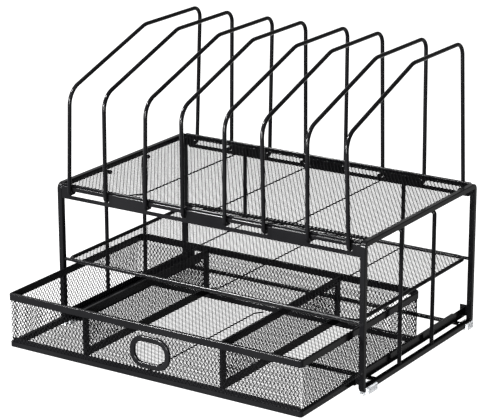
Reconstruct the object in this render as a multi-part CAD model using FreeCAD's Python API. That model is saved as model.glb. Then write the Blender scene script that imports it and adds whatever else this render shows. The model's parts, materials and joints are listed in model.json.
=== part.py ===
"""Desktop file sorter: a steel frame with a mesh top tray carrying eight wire dividers,
a mesh letter shelf and a sliding mesh drawer with three compartments.

Units are millimetres, +Z is up and the front faces -Y. The parts are drawn with x = 0 on
the centre line, y = 0 at the front legs and z = 0 under the feet. Each part is moved
once, when it is saved, so that the origin is under the middle of the whole object.
"""
import FreeCAD, Part
import math
import os

Vector = FreeCAD.Vector

# Side frames: two closed loops of square steel tube
LEG_SPACING = 350.0          # between the centre lines of the left and right legs
DEPTH = 218.8                # between the centre lines of the front and rear legs
TUBE = 5.6
TUBE_BEND = 6.4              # outer bend radius at the corners of a side frame
TUBE_EDGE = 0.9              # rounding along the edges of the tube
TOP_Z = 152.0                # upper face of the top rails
RAIL_Z = 2.0                 # lower face of the bottom rails, above the desk
LEG_X = LEG_SPACING / 2
INNER_X = LEG_X - TUBE / 2   # inner face of a side frame

# Wires between and beside the legs
GUARD_WIRE = 4.2
GUARD_Y = {"left": (75.4, 142.9), "right": (71.5, 137.0)}
GUARD_HOOK = 7.0             # length of the foot bent under the top rail
REAR_GUARD_X = 96.2          # two more upright wires, behind the letter shelf
CROSS_BAR = 4.4
CROSS_BAR_Y = (31.0, 207.2)

# Drawer runners: angle strips with a tab at each end that meets the leg
RUNNER_SHEET = 0.8
RUNNER_X = 169.2             # outer face of the upright side
RUNNER_HEIGHT = 11.15
RUNNER_LEDGE = 15.4
RUNNER_BEND = 1.8
RUNNER_Z = 8.1               # underside of the ledge
FRONT_TAB_Y = -1.5
STOP_HEIGHT = 13.35
STOP_REACH = 163.3           # inner edge of the rear tab, which stops the drawer
STOP_Y = 219.2               # front face of the stop

# Clear plastic feet clipped on the bottom rails
FRONT_FOOT_LENGTH = 19.0
REAR_FOOT_LENGTH = 13.6
FOOT_WALL = 2.4
FOOT_TOP = 6.4
FOOT_START = 2.6             # from the front leg's centre line to the front foot
REAR_FOOT_END = -0.6         # rear foot's end, from the rear leg's centre line
FOOT_SOLE = 2.2              # reach of the front foot's sole, ahead of the leg's centre line
FOOT_EDGE = 1.2

# Top tray: mesh floor between two slotted aprons
SHEET = 1.0
MESH = 0.6
APRON_FACE = 2.2             # apron's outer face, outside the leg's centre line
APRON_HEIGHT = 13.3
APRON_FLANGE = 9.0
APRON_BEND = 1.6
APRON_CORNER = 5.0
TRAY_Z = 149.7               # upper face of the apron flanges
EDGE_WIRE = 2.4
SLOT_HEIGHT = 5.0
SLOT_Z = 142.9
SLOT_LENGTH = 50.0
RIB = 1.4
RIB_KINK = 9.0

# Letter shelf
SHELF_WIRE = 4.0
SHELF_Z = 71.8
SHELF_INSET = 6.8            # from the leg's centre line to the centre of the side wire
SHELF_CORNER = 9.0
SHELF_RIB_X = (-82.0, 7.0, 96.0)
SHELF_WELD = 3.4             # stub of wire between the loop's corner and the leg

# Dividers: bent wires hooked into the apron slots, two to a slot
WIRE = 4.2
PAIR_PITCH = 92.6
TOP_PITCH = 90.4             # between the pairs at their tops, which lean together
PAIRS = 4
FOOT_GAP = 44.4              # between the two feet in one slot
TOP_GAP = 40.4               # between their tops
KNEE_Z = 249.2               # sharp corner above the front leg
CREST_Y = 122.8              # sharp corner where the slope meets the level run
CREST_Z = 292.4
KNEE_BEND = 20.0
CREST_BEND = 24.0
REAR_BEND = 12.0
HOOK_BEND = 3.0
HOOK_REACH = 7.5
WIRE_STANDOFF = 2.25         # wire's centre line outside the apron's face

# Drawer, standing partly open
DRAWER_WIDTH = 336.0
DRAWER_LENGTH = 226.0
DRAWER_BOTTOM = 9.2
DRAWER_HEIGHT = 55.55
DRAWER_OPEN = 97.4           # front face ahead of the front legs
TOP_RIM_HEIGHT = 7.0
BOTTOM_RIM_HEIGHT = 5.4
BASE_STRIP_HEIGHT = 9.6      # strip standing inside the front mesh
BASE_STRIP_SHEET = 0.7
INNER_BAND_HEIGHT = 5.6      # bottom rim's edge folded over the floor
INNER_BAND = 2.6
FRONT_LIP = 5.2              # depth of the level lip along the top of the front
RIM_SHEET = 2.6
RIM_EDGE = 1.0
FRONT_CORNER = 3.0
REAR_CORNER = 10.0
PARTITION_X = {"left": -80.8, "right": 77.2}
PARTITION_DROP = 1.6         # partition's top below the drawer's rim
PARTITION_STRIP = 7.4
PARTITION_SHEET = 2.4
PULL_WIDTH = 45.6
PULL_HEIGHT = 32.0
PULL_BAND = 5.6
PULL_CORNER = 14.5
PULL_DEPTH = 3.6
FLOOR_RIB_X = -13.0
FLOOR_RIB_END = 108.0
FLOOR_RIB_HOOK = 6.0

# Places worked out from the sizes above
REAR_FACE = DEPTH + APRON_FACE + WIRE_STANDOFF + WIRE / 2
PULL_FACE = -DRAWER_OPEN - (PULL_DEPTH - RIM_SHEET) / 2
Y_MIDDLE = (REAR_FACE + PULL_FACE) / 2
DRAWER_FRONT = -DRAWER_OPEN
DRAWER_REAR = DRAWER_FRONT + DRAWER_LENGTH
DRAWER_TOP = DRAWER_BOTTOM + DRAWER_HEIGHT
DRAWER_X = DRAWER_WIDTH / 2
WALL_INSET = (RIM_SHEET - MESH) / 2


def save(name, shape):
    """Move a part into the object's frame and write it."""
    placed = shape.copy()
    placed.translate(Vector(0, -Y_MIDDLE, 0))
    if not placed.isValid() or placed.Volume <= 0:
        raise ValueError("bad solid: " + name)
    placed.exportStep("parts/" + name + ".step")


def block(x0, x1, y0, y1, z0, z1):
    return Part.makeBox(x1 - x0, y1 - y0, z1 - z0, Vector(x0, y0, z0))


def bent_line(points, radii, closed=False):
    """Straight runs joined by tangent arcs, one radius for each corner."""
    count = len(points)
    corners = range(count) if closed else range(1, count - 1)
    starts = list(points)
    ends = list(points)
    arcs = {}
    for i, radius in zip(corners, radii):
        corner = points[i]
        back = (points[i - 1] - corner).normalize()
        ahead = (points[(i + 1) % count] - corner).normalize()
        half = back.getAngle(ahead) / 2
        starts[i] = corner + back * (radius / math.tan(half))
        ends[i] = corner + ahead * (radius / math.tan(half))
        inward = (back + ahead).normalize()
        middle = corner + inward * (radius / math.sin(half) - radius)
        arcs[i] = Part.Arc(starts[i], middle, ends[i]).toShape()
    edges = []
    for i in range(count if closed else count - 1):
        following = (i + 1) % count
        edges.append(Part.LineSegment(ends[i], starts[following]).toShape())
        if following in arcs:
            edges.append(arcs[following])
    return Part.Wire(Part.__sortEdges__(edges))


def rod(points, radii, diameter):
    """A round wire bent along a line."""
    path = bent_line(points, radii)
    along = (points[1] - points[0]).normalize()
    circle = Part.Wire(Part.makeCircle(diameter / 2, points[0], along))
    return path.makePipeShell([circle], True, False)


def plate(outline, direction):
    """A flat face with the outline's shape, given thickness along one direction."""
    return Part.Face(outline).extrude(direction)


def rectangle(x0, x1, y0, y1, z, radii):
    """A level rectangle; radii are for front left, front right, rear right, rear left."""
    corners = [Vector(x0, y0, z), Vector(x1, y0, z), Vector(x1, y1, z), Vector(x0, y1, z)]
    return bent_line(corners, radii, closed=True)


def upright_rectangle(x, y0, y1, z0, z1, radius):
    corners = [Vector(x, y0, z0), Vector(x, y1, z0), Vector(x, y1, z1), Vector(x, y0, z1)]
    return bent_line(corners, [radius] * 4, closed=True)


def drawer_ring(inset, thickness, z0, z1):
    """A band that follows the drawer's plan, set in from its outside."""
    rings = []
    for step in (inset, inset + thickness):
        front = max(FRONT_CORNER - step, 0.4)
        rear = max(REAR_CORNER - step, 0.4)
        outline = rectangle(-DRAWER_X + step, DRAWER_X - step, DRAWER_FRONT + step,
                            DRAWER_REAR - step, z0, [front, front, rear, rear])
        rings.append(plate(outline, Vector(0, 0, z1 - z0)))
    return rings[0].cut(rings[1])


def drawer_top_rim():
    """A folded band whose upper edges are rounded, with a level lip behind the front."""
    rim = drawer_ring(0, RIM_SHEET, DRAWER_TOP - TOP_RIM_HEIGHT, DRAWER_TOP)
    upper = [edge for edge in rim.Edges if edge.BoundBox.ZMin > DRAWER_TOP - 0.01]
    reach = DRAWER_X - RIM_SHEET / 2
    lip = block(-reach, reach, DRAWER_FRONT + RIM_SHEET / 2, DRAWER_FRONT + FRONT_LIP,
                DRAWER_TOP - RIM_EDGE - SHEET, DRAWER_TOP - RIM_EDGE)
    return rim.makeFillet(RIM_EDGE, upper).fuse(lip)


def drawer_bottom_rim():
    """A band outside the mesh, a band folded over the floor and a taller strip at the front."""
    band = drawer_ring(0, RIM_SHEET, DRAWER_BOTTOM, DRAWER_BOTTOM + BOTTOM_RIM_HEIGHT)
    lower = [edge for edge in band.Edges if edge.BoundBox.ZMax < DRAWER_BOTTOM + 0.01]
    inner_face = DRAWER_FRONT + RIM_SHEET
    strip = block(RIM_SHEET - DRAWER_X, DRAWER_X - RIM_SHEET,
                  inner_face - BASE_STRIP_SHEET, inner_face,
                  DRAWER_BOTTOM, DRAWER_BOTTOM + BASE_STRIP_HEIGHT)
    fold_top = DRAWER_BOTTOM + INNER_BAND_HEIGHT
    fold = drawer_ring(RIM_SHEET, INNER_BAND, DRAWER_BOTTOM, fold_top)
    crown = [edge for edge in fold.Edges if edge.BoundBox.ZMin > fold_top - 0.01]
    return band.makeFillet(RIM_EDGE, lower).fuse([strip, fold.makeFillet(RIM_EDGE, crown)])


def side_frame(side):
    """Front leg, top rail, rear leg and bottom rail, bent from one tube."""
    x = side * LEG_X - TUBE / 2
    half = TUBE / 2
    across = Vector(TUBE, 0, 0)
    outer = plate(upright_rectangle(x, -half, DEPTH + half, RAIL_Z, TOP_Z, TUBE_BEND), across)
    inner = plate(upright_rectangle(x, half, DEPTH - half, RAIL_Z + TUBE, TOP_Z - TUBE,
                                    TUBE_BEND - TUBE), across)
    loop = outer.cut(inner)
    rims = []
    for edge in loop.Edges:
        box = edge.BoundBox
        if box.XLength < 0.001:
            rims.append(edge)
    return loop.makeFillet(TUBE_EDGE, rims)


def guard_wire(side, y):
    """An upright wire from the bottom rail to the top rail, its head bent inwards."""
    x = side * LEG_X
    bottom = RAIL_Z + TUBE
    top = TOP_Z - TUBE - GUARD_WIRE / 2
    points = [Vector(x, y, bottom), Vector(x, y, top), Vector(x - side * GUARD_HOOK, y, top)]
    return rod(points, [GUARD_WIRE * 0.8], GUARD_WIRE)


def rear_guard_wire(side, shelf_loop):
    """An upright wire from the letter shelf's rear wire to the inner face of the rear apron."""
    x = side * REAR_GUARD_X
    y = DEPTH + APRON_FACE - SHEET - GUARD_WIRE / 2
    top = TRAY_Z - SHEET - GUARD_WIRE / 2
    wire = rod([Vector(x, y, SHELF_Z + MESH), Vector(x, y, top)], [], GUARD_WIRE)
    return wire.cut(shelf_loop)


def cross_bar(y):
    z = RAIL_Z + TUBE / 2
    return rod([Vector(-INNER_X, y, z), Vector(INNER_X, y, z)], [], CROSS_BAR)


def runner(side):
    """An angle strip beside and under the drawer, joined to the legs by a tab at each end."""
    front = FRONT_TAB_Y
    rear = STOP_Y + RUNNER_SHEET
    top = RUNNER_Z + RUNNER_HEIGHT
    outer = side * RUNNER_X
    inner = side * (RUNNER_X - RUNNER_SHEET)
    edge = side * (RUNNER_X - RUNNER_LEDGE)
    section = [Vector(outer, front, RUNNER_Z), Vector(outer, front, top),
               Vector(inner, front, top), Vector(inner, front, RUNNER_Z + RUNNER_SHEET),
               Vector(edge, front, RUNNER_Z + RUNNER_SHEET), Vector(edge, front, RUNNER_Z)]
    bends = [RUNNER_BEND, 0.2, 0.2, RUNNER_BEND - RUNNER_SHEET, 0.2, 0.2]
    angle = plate(bent_line(section, bends, closed=True), Vector(0, rear - front, 0))
    leg = side * INNER_X
    stop_edge = side * STOP_REACH
    middle_z = RUNNER_Z + RUNNER_BEND
    front_tab = block(min(inner, leg), max(inner, leg), front, front + RUNNER_SHEET,
                      middle_z, top)
    stop = block(min(stop_edge, leg), max(stop_edge, leg), STOP_Y, rear,
                 middle_z, RUNNER_Z + STOP_HEIGHT)
    return angle.fuse([front_tab, stop]).removeSplitter()


def foot(side, rear, frame):
    """A clear clip pushed up over one end of a bottom rail."""
    half = TUBE / 2 + FOOT_WALL
    y0 = FOOT_START
    y1 = y0 + FRONT_FOOT_LENGTH
    if rear:
        y1 = DEPTH + REAR_FOOT_END
        y0 = y1 - REAR_FOOT_LENGTH
    clip = block(side * LEG_X - half, side * LEG_X + half, y0, y1, 0, FOOT_TOP)
    outside = [edge for edge in clip.Edges if edge.BoundBox.ZLength > 1]
    body = clip.makeFillet(FOOT_EDGE, outside)
    if not rear:
        sole_x = side * LEG_X - TUBE / 2
        body = body.fuse(block(sole_x, sole_x + TUBE, -FOOT_SOLE, y0 + 2, 0, RAIL_Z))
    return body.cut(frame).cut(cross_bar(CROSS_BAR_Y[1]))


def apron(rear):
    """A slotted angle strip: an upright face and a flange under the tray's mesh."""
    out = -1
    face = -APRON_FACE
    if rear:
        out = 1
        face = DEPTH + APRON_FACE
    low = TRAY_Z - APRON_HEIGHT
    lip = face - out * APRON_FLANGE
    skin = SHEET
    section = [Vector(-INNER_X, face, low), Vector(-INNER_X, face, TRAY_Z),
               Vector(-INNER_X, lip, TRAY_Z), Vector(-INNER_X, lip, TRAY_Z - skin),
               Vector(-INNER_X, face - out * skin, TRAY_Z - skin),
               Vector(-INNER_X, face - out * skin, low)]
    bends = [0.3, APRON_BEND, 0.3, 0.3, APRON_BEND - skin, 0.3]
    strip = plate(bent_line(section, bends, closed=True), Vector(2 * INNER_X, 0, 0))
    for pair in range(PAIRS):
        strip = strip.cut(slot(pair_centre(pair), face))
    if rear:
        for side in (-1, 1):
            strip = strip.cut(corner_trim(side, face, low))
    return strip


def pair_centre(pair, pitch=PAIR_PITCH):
    return (pair - (PAIRS - 1) / 2) * pitch


def slot(x, face):
    """A long hole with round ends, cut through an apron's face."""
    half = SLOT_LENGTH / 2
    radius = SLOT_HEIGHT / 2 - 0.01
    y = face - 2 * SHEET
    corners = [Vector(x - half, y, SLOT_Z - SLOT_HEIGHT / 2),
               Vector(x + half, y, SLOT_Z - SLOT_HEIGHT / 2),
               Vector(x + half, y, SLOT_Z + SLOT_HEIGHT / 2),
               Vector(x - half, y, SLOT_Z + SLOT_HEIGHT / 2)]
    return plate(bent_line(corners, [radius] * 4, closed=True), Vector(0, 4 * SHEET, 0))


def corner_trim(side, face, low):
    """What rounds off one lower corner of an apron."""
    x = side * INNER_X
    inner_x = x - side * APRON_CORNER
    y = face - 2 * SHEET
    square = block(min(x, inner_x), max(x, inner_x), y, y + 4 * SHEET, low, low + APRON_CORNER)
    disc = Part.makeCylinder(APRON_CORNER, 4 * SHEET, Vector(inner_x, y, low + APRON_CORNER),
                             Vector(0, 1, 0))
    return square.cut(disc)


def tray_edge_wire(y):
    z = TRAY_Z + EDGE_WIRE / 2
    return rod([Vector(-INNER_X, y, z), Vector(INNER_X, y, z)], [], EDGE_WIRE)


def tray_mesh():
    front = EDGE_WIRE / 2
    rear = DEPTH - EDGE_WIRE / 2
    return block(-INNER_X, INNER_X, front, rear, TRAY_Z, TRAY_Z + MESH)


def ribs(xs, y0, y1, z):
    """Thin stiffening wires from front to back, each with a short kink at its front end."""
    wires = []
    for x in xs:
        points = [Vector(x - RIB_KINK, y0, z), Vector(x, y0 + RIB_KINK, z), Vector(x, y1, z)]
        wires.append(rod(points, [RIB_KINK / 2], RIB))
    return Part.makeCompound(wires)


def tray_ribs():
    quarter = LEG_SPACING / 4
    front = -APRON_FACE + APRON_FLANGE + RIB
    rear = DEPTH + APRON_FACE - APRON_FLANGE - RIB
    return ribs((-quarter, 0, quarter), front, rear, TRAY_Z - RIB / 2)


def shelf_half_width():
    return LEG_X - SHELF_INSET


def shelf_wire():
    """A round-cornered loop of wire whose front and rear runs reach the legs."""
    half = shelf_half_width()
    middle = DEPTH / 2
    loop = None
    for y in (0, DEPTH):
        corners = [Vector(-half, middle, SHELF_Z), Vector(-half, y, SHELF_Z),
                   Vector(half, y, SHELF_Z), Vector(half, middle, SHELF_Z)]
        bow = rod(corners, [SHELF_CORNER] * 2, SHELF_WIRE)
        loop = loop.fuse(bow) if loop else bow
        for side in (-1, 1):
            tangent = Vector(side * (half - SHELF_CORNER), y, SHELF_Z)
            weld = Vector(side * INNER_X, y, SHELF_Z)
            loop = loop.fuse(rod([tangent, weld], [], SHELF_WELD))
    return loop.removeSplitter()


def shelf_mesh():
    half = shelf_half_width() - SHELF_WIRE / 2
    inset = SHELF_WIRE / 2
    corner = SHELF_CORNER - inset
    outline = rectangle(-half, half, inset, DEPTH - inset, SHELF_Z - MESH / 2, [corner] * 4)
    return plate(outline, Vector(0, 0, MESH))


def shelf_ribs():
    clear = SHELF_WIRE / 2 + RIB
    return ribs(SHELF_RIB_X, clear, DEPTH - clear, SHELF_Z - MESH / 2 - RIB / 2)


def divider(foot_x, top_x):
    """One wire: hook, front leg, slope, level run, rear leg and hook."""
    front = -APRON_FACE - WIRE_STANDOFF
    rear = DEPTH + APRON_FACE + WIRE_STANDOFF
    profile = [(front + HOOK_REACH, SLOT_Z), (front, SLOT_Z), (front, KNEE_Z),
               (CREST_Y, CREST_Z), (rear, CREST_Z), (rear, SLOT_Z), (rear - HOOK_REACH, SLOT_Z)]
    lean = (top_x - foot_x) / (CREST_Z - SLOT_Z)
    points = [Vector(foot_x + lean * (z - SLOT_Z), y, z) for y, z in profile]
    radii = [HOOK_BEND, KNEE_BEND, CREST_BEND, REAR_BEND, HOOK_BEND]
    return rod(points, radii, WIRE)


def drawer_walls():
    """The upright mesh between the two rims, parted into front, rear, left and right."""
    z0 = DRAWER_BOTTOM + BOTTOM_RIM_HEIGHT
    z1 = DRAWER_TOP - TOP_RIM_HEIGHT
    ring = drawer_ring(WALL_INSET, MESH, z0, z1)
    reach = DRAWER_X + 1
    front_end = DRAWER_FRONT + FRONT_CORNER
    rear_end = DRAWER_REAR - REAR_CORNER
    zones = {
        "drawer_front_mesh": block(-reach, reach, DRAWER_FRONT - 1, front_end, z0, z1),
        "drawer_rear_mesh": block(-reach, reach, rear_end, DRAWER_REAR + 1, z0, z1),
        "drawer_left_mesh": block(-reach, 0, front_end, rear_end, z0, z1),
        "drawer_right_mesh": block(0, reach, front_end, rear_end, z0, z1),
    }
    walls = {name: ring.common(zone) for name, zone in zones.items()}
    walls["drawer_front_mesh"] = walls["drawer_front_mesh"].cut(pull_solid(0, 0))
    return walls


def pull_solid(inset, shorten):
    """An upright oval, as deep as the finger pull, around the middle of the drawer's front."""
    half_x = PULL_WIDTH / 2 - inset
    half_z = PULL_HEIGHT / 2 - inset
    z = (DRAWER_BOTTOM + DRAWER_TOP) / 2
    y0 = PULL_FACE - shorten
    oval = block(-half_x, half_x, y0, PULL_FACE + PULL_DEPTH + shorten, z - half_z, z + half_z)
    corners = []
    for edge in oval.Edges:
        if edge.BoundBox.YLength > PULL_DEPTH / 2:
            corners.append(edge)
    return oval.makeFillet(PULL_CORNER - inset, corners)


def finger_pull():
    """A broad oval ring with rounded edges."""
    ring = pull_solid(0, 0).cut(pull_solid(PULL_BAND, 1))
    return ring.makeFillet(1.2, [edge for edge in ring.Edges if edge.BoundBox.YLength < 0.01])


def drawer_floor():
    inset = RIM_SHEET + INNER_BAND
    front = max(FRONT_CORNER - inset, 0.4)
    rear = REAR_CORNER - inset
    outline = rectangle(-DRAWER_X + inset, DRAWER_X - inset, DRAWER_FRONT + inset,
                        DRAWER_REAR - inset, DRAWER_BOTTOM + MESH, [front, front, rear, rear])
    return plate(outline, Vector(0, 0, MESH))


def partition_box():
    """Front, rear, bottom and top of a partition's frame."""
    inset = RIM_SHEET + INNER_BAND
    return (DRAWER_FRONT + inset, DRAWER_REAR - inset,
            DRAWER_BOTTOM + INNER_BAND_HEIGHT, DRAWER_TOP - PARTITION_DROP)


def partition_frame(x):
    """Folded strips along all four edges of a partition."""
    y0, y1, z0, z1 = partition_box()
    half = PARTITION_SHEET / 2
    strip = PARTITION_STRIP
    outer = block(x - half, x + half, y0, y1, z0, z1)
    return outer.cut(block(x - half, x + half, y0 + strip, y1 - strip, z0 + strip, z1 - strip))


def partition_mesh(x):
    y0, y1, z0, z1 = partition_box()
    strip = PARTITION_STRIP
    return block(x - MESH / 2, x + MESH / 2, y0 + strip, y1 - strip, z0 + strip, z1 - strip)


def drawer_floor_rib():
    """A thin wire along the floor from the front, its rear end turned aside."""
    z = DRAWER_BOTTOM + 2 * MESH + RIB / 2
    front = DRAWER_FRONT + RIM_SHEET + INNER_BAND + RIB
    points = [Vector(FLOOR_RIB_X, front, z), Vector(FLOOR_RIB_X, FLOOR_RIB_END, z),
              Vector(FLOOR_RIB_X + FLOOR_RIB_HOOK, FLOOR_RIB_END + FLOOR_RIB_HOOK, z)]
    return rod(points, [FLOOR_RIB_HOOK / 2], RIB)


def save_frame():
    sides = {"left": -1, "right": 1}
    for name, side in sides.items():
        frame = side_frame(side)
        save(name + "_side_frame", frame)
        save(name + "_runner", runner(side))
        for place, y in zip(("front", "rear"), GUARD_Y[name]):
            save(name + "_guard_wire_" + place, guard_wire(side, y))
        for place in ("front", "rear"):
            save("foot_" + place + "_" + name, foot(side, place == "rear", frame))
    for place, y in zip(("front", "rear"), CROSS_BAR_Y):
        save(place + "_cross_bar", cross_bar(y))


def save_tray_and_shelf():
    save("front_apron", apron(False))
    save("rear_apron", apron(True))
    save("tray_front_edge_wire", tray_edge_wire(0))
    save("tray_rear_edge_wire", tray_edge_wire(DEPTH))
    save("tray_mesh", tray_mesh())
    save("tray_ribs", tray_ribs())
    loop = shelf_wire()
    save("shelf_wire", loop)
    save("rear_guard_wire_left", rear_guard_wire(-1, loop))
    save("rear_guard_wire_right", rear_guard_wire(1, loop))
    save("shelf_mesh", shelf_mesh())
    save("shelf_ribs", shelf_ribs())


def save_dividers():
    for pair in range(PAIRS):
        for place, side in enumerate((-1, 1)):
            foot_x = pair_centre(pair) + side * FOOT_GAP / 2
            top_x = pair_centre(pair, TOP_PITCH) + side * TOP_GAP / 2
            save("divider_" + str(2 * pair + place + 1), divider(foot_x, top_x))


def save_drawer():
    save("drawer_top_rim", drawer_top_rim())
    save("drawer_bottom_rim", drawer_bottom_rim())
    save("drawer_floor_mesh", drawer_floor())
    for name, wall in drawer_walls().items():
        save(name, wall)
    save("finger_pull", finger_pull())
    for name, x in PARTITION_X.items():
        save("partition_" + name + "_frame", partition_frame(x))
        save("partition_" + name + "_mesh", partition_mesh(x))
    save("drawer_floor_rib", drawer_floor_rib())


os.makedirs("parts", exist_ok=True)
save_frame()
save_tray_and_shelf()
save_dividers()
save_drawer()
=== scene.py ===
"""Looks for the desktop file sorter: expanded-metal mesh, coated steel and clear feet."""
import json
import math

import bpy
import numpy as np
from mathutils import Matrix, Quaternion, Vector


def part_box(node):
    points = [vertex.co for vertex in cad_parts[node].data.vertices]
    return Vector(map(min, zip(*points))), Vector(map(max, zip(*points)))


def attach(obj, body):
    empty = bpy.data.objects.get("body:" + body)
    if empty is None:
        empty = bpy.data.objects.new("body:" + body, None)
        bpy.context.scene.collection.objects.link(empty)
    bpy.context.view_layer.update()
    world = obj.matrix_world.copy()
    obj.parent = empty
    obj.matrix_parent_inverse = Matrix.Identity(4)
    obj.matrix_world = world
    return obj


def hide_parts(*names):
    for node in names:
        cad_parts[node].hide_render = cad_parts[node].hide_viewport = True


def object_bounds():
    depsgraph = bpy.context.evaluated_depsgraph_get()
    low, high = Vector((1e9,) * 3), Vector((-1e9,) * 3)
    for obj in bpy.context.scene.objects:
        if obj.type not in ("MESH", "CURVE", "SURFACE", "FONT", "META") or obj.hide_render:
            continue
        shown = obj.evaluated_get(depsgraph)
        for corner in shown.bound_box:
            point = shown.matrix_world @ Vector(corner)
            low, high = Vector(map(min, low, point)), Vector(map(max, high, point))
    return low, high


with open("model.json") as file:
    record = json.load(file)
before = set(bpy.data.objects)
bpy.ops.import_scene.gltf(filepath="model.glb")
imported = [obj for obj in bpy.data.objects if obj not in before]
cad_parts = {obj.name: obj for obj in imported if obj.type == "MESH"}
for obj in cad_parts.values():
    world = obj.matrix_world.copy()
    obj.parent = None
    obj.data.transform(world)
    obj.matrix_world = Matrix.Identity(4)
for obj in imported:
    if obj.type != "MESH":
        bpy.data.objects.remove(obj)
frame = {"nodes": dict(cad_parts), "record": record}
cad_low, cad_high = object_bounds()

# Expanded metal: diamonds, strands and the CAD sheet they replace, in metres
DIAMOND_SHORT = 0.00415
DIAMOND_LONG = 0.0060
STRAND_WIDTH = 0.00050
STRAND_THICKNESS = 0.00056
STRAND_EDGE = 0.00044        # thickness left at the sides of a strand
SHEET = 0.0006
REAR_RADIUS = 0.009          # bend of the drawer's rear wall, on its outer face
SHELF_RADIUS = 0.007         # corners of the shelf's mesh
FLOOR_RADIUS = 0.0048        # corners of the drawer floor's mesh
PULL_OVERLAP = 0.001         # how far the finger pull covers the mesh round its opening

# Colour ramps and gloss follow the middle of a noise texture's range
NOISE_LOW = 0.3
NOISE_HIGH = 0.7
CLOUD_SCALE = 18.0
PEEL_DEPTH = 0.0002
GLOSSIER = 0.04              # most roughness that the grain takes off
DULLER = 0.06                # most roughness that the grain adds

# Clear plastic
PLASTIC_DARK = (0.20, 0.21, 0.22)
PLASTIC_LIGHT = (0.38, 0.39, 0.40)
PLASTIC_CLOUD_SCALE = 160.0
PLASTIC_ROUGHNESS = (0.12, 0.30)
PLASTIC_TRANSMISSION = 0.30
PLASTIC_IOR = 1.45

# Studio: the floor glows, so that it stays pale and shows no shadow
FLOOR_SIZE = 30
FLOOR_SHADE = 0.02
FLOOR_GLOW = 1.3
WORLD_STRENGTH = 0.80

# Area lights: name, size, power, direction from the object's middle, distance
LIGHTS = (
    ("front_left", 0.4, 620.0, (-0.34, -1.0, 0.30), 2.4),
    ("front_right", 0.3, 80.0, (0.28, -1.0, 0.10), 1.1),
    ("upper_left", 0.3, 520.0, (-0.52, -0.40, 0.76), 2.4),
)

# Camera: angles in degrees, lengths in metres, lens in millimetres
CAMERA_AZIMUTH = 32.99
CAMERA_ELEVATION = 17.62
CAMERA_ROLL = 0.16
CAMERA_DISTANCE = 2.1681
CAMERA_AIM = (0.00285, -0.0055, 0.1374)
CAMERA_LENS = 164.47
SENSOR_WIDTH = 36.0
FAR_CLIP = 50.0


# ---------------------------------------------------------------- materials

def new_material(name):
    material = bpy.data.materials.new(name)
    material.use_nodes = True
    return material, material.node_tree.nodes, material.node_tree.links


def coated_steel(name, dark, light, roughness, specular, grain_scale, bump):
    """Powder coat: a fine orange-peel bump with small variations of shade and gloss."""
    material, nodes, links = new_material(name)
    shader = nodes["Principled BSDF"]
    place = nodes.new("ShaderNodeTexCoord")
    grain = nodes.new("ShaderNodeTexNoise")
    grain.inputs["Scale"].default_value = grain_scale
    grain.inputs["Detail"].default_value = 4.0
    links.new(place.outputs["Object"], grain.inputs["Vector"])
    cloud = nodes.new("ShaderNodeTexNoise")
    cloud.inputs["Scale"].default_value = CLOUD_SCALE
    cloud.inputs["Detail"].default_value = 3.0
    links.new(place.outputs["Object"], cloud.inputs["Vector"])
    shade = nodes.new("ShaderNodeValToRGB")
    shade.color_ramp.elements[0].position = NOISE_LOW
    shade.color_ramp.elements[0].color = (*dark, 1.0)
    shade.color_ramp.elements[1].position = NOISE_HIGH
    shade.color_ramp.elements[1].color = (*light, 1.0)
    links.new(cloud.outputs["Fac"], shade.inputs["Fac"])
    links.new(shade.outputs["Color"], shader.inputs["Base Color"])
    gloss = nodes.new("ShaderNodeMapRange")
    gloss.inputs["From Min"].default_value = NOISE_LOW
    gloss.inputs["From Max"].default_value = NOISE_HIGH
    gloss.inputs["To Min"].default_value = roughness - GLOSSIER
    gloss.inputs["To Max"].default_value = roughness + DULLER
    links.new(grain.outputs["Fac"], gloss.inputs["Value"])
    links.new(gloss.outputs["Result"], shader.inputs["Roughness"])
    peel = nodes.new("ShaderNodeBump")
    peel.inputs["Strength"].default_value = bump
    peel.inputs["Distance"].default_value = PEEL_DEPTH
    links.new(grain.outputs["Fac"], peel.inputs["Height"])
    links.new(peel.outputs["Normal"], shader.inputs["Normal"])
    shader.inputs["Specular IOR Level"].default_value = specular
    return material


def clear_plastic(name):
    """Soft translucent plastic, slightly clouded."""
    material, nodes, links = new_material(name)
    shader = nodes["Principled BSDF"]
    place = nodes.new("ShaderNodeTexCoord")
    cloud = nodes.new("ShaderNodeTexNoise")
    cloud.inputs["Scale"].default_value = PLASTIC_CLOUD_SCALE
    links.new(place.outputs["Object"], cloud.inputs["Vector"])
    shade = nodes.new("ShaderNodeValToRGB")
    shade.color_ramp.elements[0].color = (*PLASTIC_DARK, 1.0)
    shade.color_ramp.elements[1].color = (*PLASTIC_LIGHT, 1.0)
    links.new(cloud.outputs["Fac"], shade.inputs["Fac"])
    links.new(shade.outputs["Color"], shader.inputs["Base Color"])
    gloss = nodes.new("ShaderNodeMapRange")
    gloss.inputs["To Min"].default_value = PLASTIC_ROUGHNESS[0]
    gloss.inputs["To Max"].default_value = PLASTIC_ROUGHNESS[1]
    links.new(cloud.outputs["Fac"], gloss.inputs["Value"])
    links.new(gloss.outputs["Result"], shader.inputs["Roughness"])
    shader.inputs["Transmission Weight"].default_value = PLASTIC_TRANSMISSION
    shader.inputs["IOR"].default_value = PLASTIC_IOR
    return material


STEEL = coated_steel("satin_black_steel", (0.0006, 0.0006, 0.0007), (0.0012, 0.0012, 0.0013),
                     0.16, 0.035, 900.0, 0.015)
WIRE = coated_steel("gloss_black_wire", (0.0005, 0.0005, 0.0006), (0.0012, 0.0012, 0.0013),
                    0.15, 0.03, 1200.0, 0.004)
MESH = coated_steel("black_expanded_metal", (0.0004, 0.0004, 0.0005), (0.001, 0.001, 0.0011),
                    0.50, 0.005, 1500.0, 0.10)
PLASTIC = clear_plastic("clear_foot_plastic")
SLOT_MATERIAL = {"black_steel": STEEL, "black_wire": WIRE, "black_mesh": MESH,
                 "clear_plastic": PLASTIC}


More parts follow.
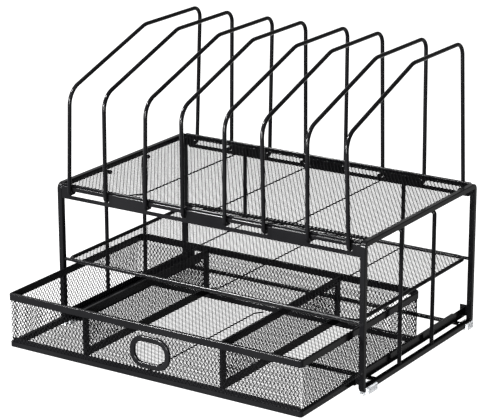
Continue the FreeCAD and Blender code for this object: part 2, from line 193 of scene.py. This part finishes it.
def finish_nodes():
    """Give every CAD node the material of its slot."""
    for part in frame["record"]["subparts"]:
        data = frame["nodes"][part["node"]].data
        data.materials.clear()
        data.materials.append(SLOT_MATERIAL[part["material_slot"]])


# ---------------------------------------------------------------- expanded metal

def diamond_mesh(name, length, height, place, body, node, keep=None):
    """A panel of expanded metal. place(u, v, w) maps panel coordinates to the frame.

    Each diamond hole has a wall between four pairs of rim points; the strands rise to a
    ridge on both faces, which runs between the points where four holes meet.
    """
    columns = max(1, round(length / DIAMOND_SHORT))
    rows = max(1, round(height / DIAMOND_LONG))
    step_u = length / columns / 2
    step_v = height / rows / 2
    a, b = np.meshgrid(np.arange(1, 2 * columns), np.arange(1, 2 * rows), indexing="ij")
    hole = (a + b) % 2 == 0
    a, b = a[hole], b[hole]
    if keep is not None:
        inside = keep(a * step_u, b * step_v)
        a, b = a[inside], b[inside]
    count = len(a)
    offsets = ((1, 0), (0, 1), (-1, 0), (0, -1))
    reach = step_u * step_v / math.hypot(step_u, step_v)
    shrink = 1 - STRAND_WIDTH / 2 / reach
    rim_u = np.stack([(a + du * shrink) * step_u for du, dv in offsets], 1)
    rim_v = np.stack([(b + dv * shrink) * step_v for du, dv in offsets], 1)
    rim_w = np.full(4 * count, STRAND_EDGE / 2)
    keys = np.stack([(a + du) * (4 * rows) + (b + dv) for du, dv in offsets], 1)
    unique, inverse = np.unique(keys.ravel(), return_inverse=True)
    inverse = inverse.reshape(count, 4)
    node_u = (unique // (4 * rows)) * step_u
    node_v = (unique % (4 * rows)) * step_v
    half = STRAND_THICKNESS / 2
    u = np.concatenate([rim_u.ravel(), rim_u.ravel(), node_u, node_u])
    v = np.concatenate([rim_v.ravel(), rim_v.ravel(), node_v, node_v])
    w = np.concatenate([rim_w, -rim_w, np.full(len(unique), half),
                        np.full(len(unique), -half)])
    points = place(u, v, w)
    upper = np.arange(4 * count).reshape(count, 4)
    lower = upper + 4 * count
    top = 8 * count + inverse
    bottom = top + len(unique)
    quads = []
    for k in range(4):
        n = (k + 1) % 4
        quads.append(np.stack([upper[:, k], top[:, k], top[:, n], upper[:, n]], 1))
        quads.append(np.stack([upper[:, k], upper[:, n], lower[:, n], lower[:, k]], 1))
        quads.append(np.stack([lower[:, k], lower[:, n], bottom[:, n], bottom[:, k]], 1))
    add_quads(name, points, np.concatenate(quads), body, node)


def add_quads(name, points, faces, body, node):
    mesh = bpy.data.meshes.new(name)
    mesh.vertices.add(len(points))
    mesh.vertices.foreach_set("co", points.astype(np.float32).ravel())
    mesh.loops.add(4 * len(faces))
    mesh.loops.foreach_set("vertex_index", faces.astype(np.int32).ravel())
    mesh.polygons.add(len(faces))
    mesh.polygons.foreach_set("loop_start", np.arange(0, 4 * len(faces), 4, dtype=np.int32))
    mesh.update(calc_edges=True)
    mesh.validate()
    mesh.materials.append(MESH)
    piece = bpy.data.objects.new(name, mesh)
    bpy.context.scene.collection.objects.link(piece)
    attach(piece, body)
    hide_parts(node)


def level_place(low, z):
    def place(u, v, w):
        return np.stack([low.x + u, low.y + v, np.full_like(u, z) + w], 1)
    return place


def level_panel(name, node, body, corner=0.0):
    """A horizontal panel with the outline of its CAD sheet."""
    low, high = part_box(node)
    size = high - low

    def inside_corners(u, v):
        du = np.maximum(corner - np.minimum(u, size.x - u), 0)
        dv = np.maximum(corner - np.minimum(v, size.y - v), 0)
        return np.hypot(du, dv) <= max(corner, 1e-9)
    keep = inside_corners if corner else None
    diamond_mesh(name, size.x, size.y, level_place(low, (low.z + high.z) / 2), body, node, keep)


def side_panel(name, node, body):
    """An upright panel that runs from front to back."""
    low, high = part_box(node)
    x = (low.x + high.x) / 2

    def place(u, v, w):
        return np.stack([np.full_like(u, x) + w, low.y + u, low.z + v], 1)
    diamond_mesh(name, high.y - low.y, high.z - low.z, place, body, node)


def front_panel(name, node, body, pull):
    """The drawer's front, with an oval gap that the finger pull covers."""
    low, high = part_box(node)
    pull_low, pull_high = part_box(pull)
    middle = (pull_low + pull_high) / 2
    half_x = (pull_high.x - pull_low.x) / 2
    half_z = (pull_high.z - pull_low.z) / 2
    y = low.y + SHEET / 2

    def place(u, v, w):
        return np.stack([low.x + u, np.full_like(u, y) - w, low.z + v], 1)

    def keep(u, v):
        du = (low.x + u - middle.x) / (half_x - PULL_OVERLAP)
        dv = (low.z + v - middle.z) / (half_z - PULL_OVERLAP)
        return np.hypot(du, dv) > 1
    diamond_mesh(name, high.x - low.x, high.z - low.z, place, body, node, keep)


def rear_panel(name, node, body, radius):
    """The drawer's rear wall, bent round both rear corners."""
    low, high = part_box(node)
    arc = radius * math.pi / 2
    straight = high.x - low.x - 2 * radius
    stem = high.y - low.y - radius
    length = 2 * stem + 2 * arc + straight

    def place(u, v, w):
        x = np.zeros_like(u)
        y = np.zeros_like(u)
        out_x = np.zeros_like(u)
        out_y = np.zeros_like(u)
        mirrored = u > length / 2
        s = np.where(mirrored, length - u, u)
        on_stem = s < stem
        turning = (s >= stem) & (s < stem + arc)
        running = s >= stem + arc
        angle = np.clip((s - stem) / radius, 0, math.pi / 2)
        x[on_stem] = low.x
        y[on_stem] = low.y + s[on_stem]
        out_x[on_stem] = -1
        x[turning] = low.x + radius - radius * np.cos(angle[turning])
        y[turning] = high.y - radius + radius * np.sin(angle[turning])
        out_x[turning] = -np.cos(angle[turning])
        out_y[turning] = np.sin(angle[turning])
        x[running] = low.x + radius + s[running] - stem - arc
        y[running] = high.y
        out_y[running] = 1
        x = np.where(mirrored, -x, x)
        out_x = np.where(mirrored, -out_x, out_x)
        return np.stack([x + out_x * (w - SHEET / 2), y + out_y * (w - SHEET / 2),
                         low.z + v], 1)
    diamond_mesh(name, length, high.z - low.z, place, body, node)


finish_nodes()
level_panel("tray_expanded_metal", "tray_mesh", "organizer_frame")
level_panel("shelf_expanded_metal", "shelf_mesh", "organizer_frame", SHELF_RADIUS)
level_panel("drawer_floor_expanded_metal", "drawer_floor_mesh", "drawer", FLOOR_RADIUS)
front_panel("drawer_front_expanded_metal", "drawer_front_mesh", "drawer", "finger_pull")
rear_panel("drawer_rear_expanded_metal", "drawer_rear_mesh", "drawer", REAR_RADIUS)
for place_name in ("left", "right"):
    side_panel("drawer_" + place_name + "_expanded_metal", "drawer_" + place_name + "_mesh",
               "drawer")
    side_panel("partition_" + place_name + "_expanded_metal",
               "partition_" + place_name + "_mesh", "drawer")


# ---------------------------------------------------------------- floor, light and camera

def studio_floor():
    """A plain floor that glows softly, so that no shadow shows on it."""
    material, nodes, _ = new_material("pale_floor")
    shader = nodes["Principled BSDF"]
    shader.inputs["Base Color"].default_value = (FLOOR_SHADE, FLOOR_SHADE, FLOOR_SHADE, 1.0)
    shader.inputs["Roughness"].default_value = 0.9
    shader.inputs["Specular IOR Level"].default_value = 0.0
    shader.inputs["Emission Color"].default_value = (1.0, 1.0, 1.0, 1.0)
    shader.inputs["Emission Strength"].default_value = FLOOR_GLOW
    bpy.ops.mesh.primitive_plane_add(size=FLOOR_SIZE, location=(0, 0, 0))
    floor = bpy.context.object
    floor.name = "studio_floor"
    floor.data.materials.append(material)


def studio_world():
    world = bpy.data.worlds.new("studio")
    bpy.context.scene.world = world
    world.use_nodes = True
    background = world.node_tree.nodes["Background"]
    background.inputs["Color"].default_value = (1.0, 1.0, 1.0, 1.0)
    background.inputs["Strength"].default_value = WORLD_STRENGTH


def soft_light(name, size, power, direction, distance):
    """A square area light that faces the middle of the object."""
    data = bpy.data.lights.new(name, "AREA")
    data.size = size
    data.energy = power
    lamp = bpy.data.objects.new(name, data)
    bpy.context.scene.collection.objects.link(lamp)
    centre = (cad_low + cad_high) / 2
    towards = Vector(direction).normalized()
    lamp.location = centre + towards * distance
    lamp.rotation_euler = (-towards).to_track_quat("-Z", "Y").to_euler()


def camera():
    azimuth = math.radians(CAMERA_AZIMUTH)
    elevation = math.radians(CAMERA_ELEVATION)
    roll = math.radians(CAMERA_ROLL)
    data = bpy.data.cameras.new("camera")
    data.lens = CAMERA_LENS
    data.sensor_width = SENSOR_WIDTH
    data.clip_end = FAR_CLIP
    viewer = bpy.data.objects.new("camera", data)
    bpy.context.scene.collection.objects.link(viewer)
    towards = Vector((math.sin(azimuth) * math.cos(elevation),
                      -math.cos(azimuth) * math.cos(elevation), math.sin(elevation)))
    viewer.location = Vector(CAMERA_AIM) + towards * CAMERA_DISTANCE
    level = (-towards).to_track_quat("-Z", "Y")
    viewer.rotation_euler = (level @ Quaternion((0.0, 0.0, 1.0), -roll)).to_euler()
    bpy.context.scene.camera = viewer


studio_floor()
studio_world()
for light in LIGHTS:
    soft_light(*light)
camera()
bpy.context.scene.view_settings.view_transform = "Standard"
